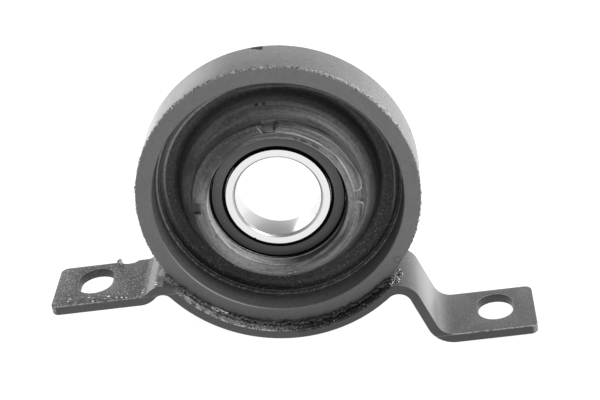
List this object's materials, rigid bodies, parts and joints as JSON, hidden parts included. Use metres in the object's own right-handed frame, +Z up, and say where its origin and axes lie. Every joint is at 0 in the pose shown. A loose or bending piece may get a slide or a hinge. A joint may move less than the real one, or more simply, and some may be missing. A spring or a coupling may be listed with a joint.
{
  "type": "driveshaft centre bearing",
  "caption": "Sealed ball bearing in a rubber ring inside a steel ring, carried by a bent steel strap whose slotted feet bolt under a vehicle floor.",
  "frame": {"origin": "under the middle of the whole part, at the height of the lower foot's underside", "axes": "+Y along the shaft towards the rear, +X towards the lower foot, +Z up, both feet level"},
  "size_m": [0.2, 0.0332, 0.1312],
  "materials": {
    "strap_coat": "black phosphate or thin paint, speckled and chipped",
    "ring_coat": "satin grey coating",
    "moulded_rubber": "matt black, dusty",
    "seal_rubber": "satin black",
    "ground_steel": "fine ground",
    "pressed_steel": "plain pressed",
    "bead": "rough black bead with bare specks"
  },
  "bodies": {
    "housing": {"bracket_strap": "strap_coat", "outer_ring": "ring_coat", "rubber_mount": "moulded_rubber", "bearing_sleeve": "pressed_steel", "bearing_outer_race": "ground_steel", "front_seal": "seal_rubber", "rear_seal": "seal_rubber", "front_weld_bead": "bead", "rear_weld_bead": "bead"},
    "inner_race": {"bearing_inner_race": "ground_steel"},
    "cage": {"cage_front_half": "pressed_steel", "cage_rear_half": "pressed_steel", "cage_rivet_01": "pressed_steel", "cage_rivet_02": "pressed_steel", "cage_rivet_03": "pressed_steel", "cage_rivet_04": "pressed_steel", "cage_rivet_05": "pressed_steel", "cage_rivet_06": "pressed_steel", "cage_rivet_07": "pressed_steel", "cage_rivet_08": "pressed_steel", "cage_rivet_09": "pressed_steel", "cage_rivet_10": "pressed_steel", "cage_rivet_11": "pressed_steel"},
    "ball_01": {"ball_01": "ground_steel"},
    "ball_02": {"ball_02": "ground_steel"},
    "ball_03": {"ball_03": "ground_steel"},
    "ball_04": {"ball_04": "ground_steel"},
    "ball_05": {"ball_05": "ground_steel"},
    "ball_06": {"ball_06": "ground_steel"},
    "ball_07": {"ball_07": "ground_steel"},
    "ball_08": {"ball_08": "ground_steel"},
    "ball_09": {"ball_09": "ground_steel"},
    "ball_10": {"ball_10": "ground_steel"},
    "ball_11": {"ball_11": "ground_steel"}
  },
  "joints": [
    {"name": "inner_race_spin", "type": "hinge", "parent": "housing", "child": "inner_race", "pos_m": [0.00115, -0.0015, 0.0732], "axis": [0, 1, 0], "continuous": true},
    {"name": "cage_spin", "type": "hinge", "parent": "housing", "child": "cage", "pos_m": [0.00115, -0.0015, 0.0732], "axis": [0, 1, 0], "continuous": true},
    {"name": "ball_01_spin", "type": "hinge", "parent": "cage", "child": "ball_01", "pos_m": [0.0254, -0.0015, 0.0732], "axis": [0, 1, 0], "continuous": true},
    {"name": "ball_02_spin", "type": "hinge", "parent": "cage", "child": "ball_02", "pos_m": [0.02155, -0.0015, 0.06009], "axis": [0, 1, 0], "continuous": true},
    {"name": "ball_03_spin", "type": "hinge", "parent": "cage", "child": "ball_03", "pos_m": [0.01122, -0.0015, 0.05114], "axis": [0, 1, 0], "continuous": true},
    {"name": "ball_04_spin", "type": "hinge", "parent": "cage", "child": "ball_04", "pos_m": [-0.0023, -0.0015, 0.0492], "axis": [0, 1, 0], "continuous": true},
    {"name": "ball_05_spin", "type": "hinge", "parent": "cage", "child": "ball_05", "pos_m": [-0.01473, -0.0015, 0.05487], "axis": [0, 1, 0], "continuous": true},
    {"name": "ball_06_spin", "type": "hinge", "parent": "cage", "child": "ball_06", "pos_m": [-0.02212, -0.0015, 0.06637], "axis": [0, 1, 0], "continuous": true},
    {"name": "ball_07_spin", "type": "hinge", "parent": "cage", "child": "ball_07", "pos_m": [-0.02212, -0.0015, 0.08003], "axis": [0, 1, 0], "continuous": true},
    {"name": "ball_08_spin", "type": "hinge", "parent": "cage", "child": "ball_08", "pos_m": [-0.01473, -0.0015, 0.09153], "axis": [0, 1, 0], "continuous": true},
    {"name": "ball_09_spin", "type": "hinge", "parent": "cage", "child": "ball_09", "pos_m": [-0.0023, -0.0015, 0.0972], "axis": [0, 1, 0], "continuous": true},
    {"name": "ball_10_spin", "type": "hinge", "parent": "cage", "child": "ball_10", "pos_m": [0.01122, -0.0015, 0.09526], "axis": [0, 1, 0], "continuous": true},
    {"name": "ball_11_spin", "type": "hinge", "parent": "cage", "child": "ball_11", "pos_m": [0.02155, -0.0015, 0.08631], "axis": [0, 1, 0], "continuous": true}
  ],
  "couplings": [
    {"joint": "cage_spin", "follows": "inner_race_spin", "ratio": 0.4182},
    {"joint": "ball_01_spin", "follows": "inner_race_spin", "ratio": -2.973},
    {"joint": "ball_02_spin", "follows": "inner_race_spin", "ratio": -2.973},
    {"joint": "ball_03_spin", "follows": "inner_race_spin", "ratio": -2.973},
    {"joint": "ball_04_spin", "follows": "inner_race_spin", "ratio": -2.973},
    {"joint": "ball_05_spin", "follows": "inner_race_spin", "ratio": -2.973},
    {"joint": "ball_06_spin", "follows": "inner_race_spin", "ratio": -2.973},
    {"joint": "ball_07_spin", "follows": "inner_race_spin", "ratio": -2.973},
    {"joint": "ball_08_spin", "follows": "inner_race_spin", "ratio": -2.973},
    {"joint": "ball_09_spin", "follows": "inner_race_spin", "ratio": -2.973},
    {"joint": "ball_10_spin", "follows": "inner_race_spin", "ratio": -2.973},
    {"joint": "ball_11_spin", "follows": "inner_race_spin", "ratio": -2.973}
  ]
}
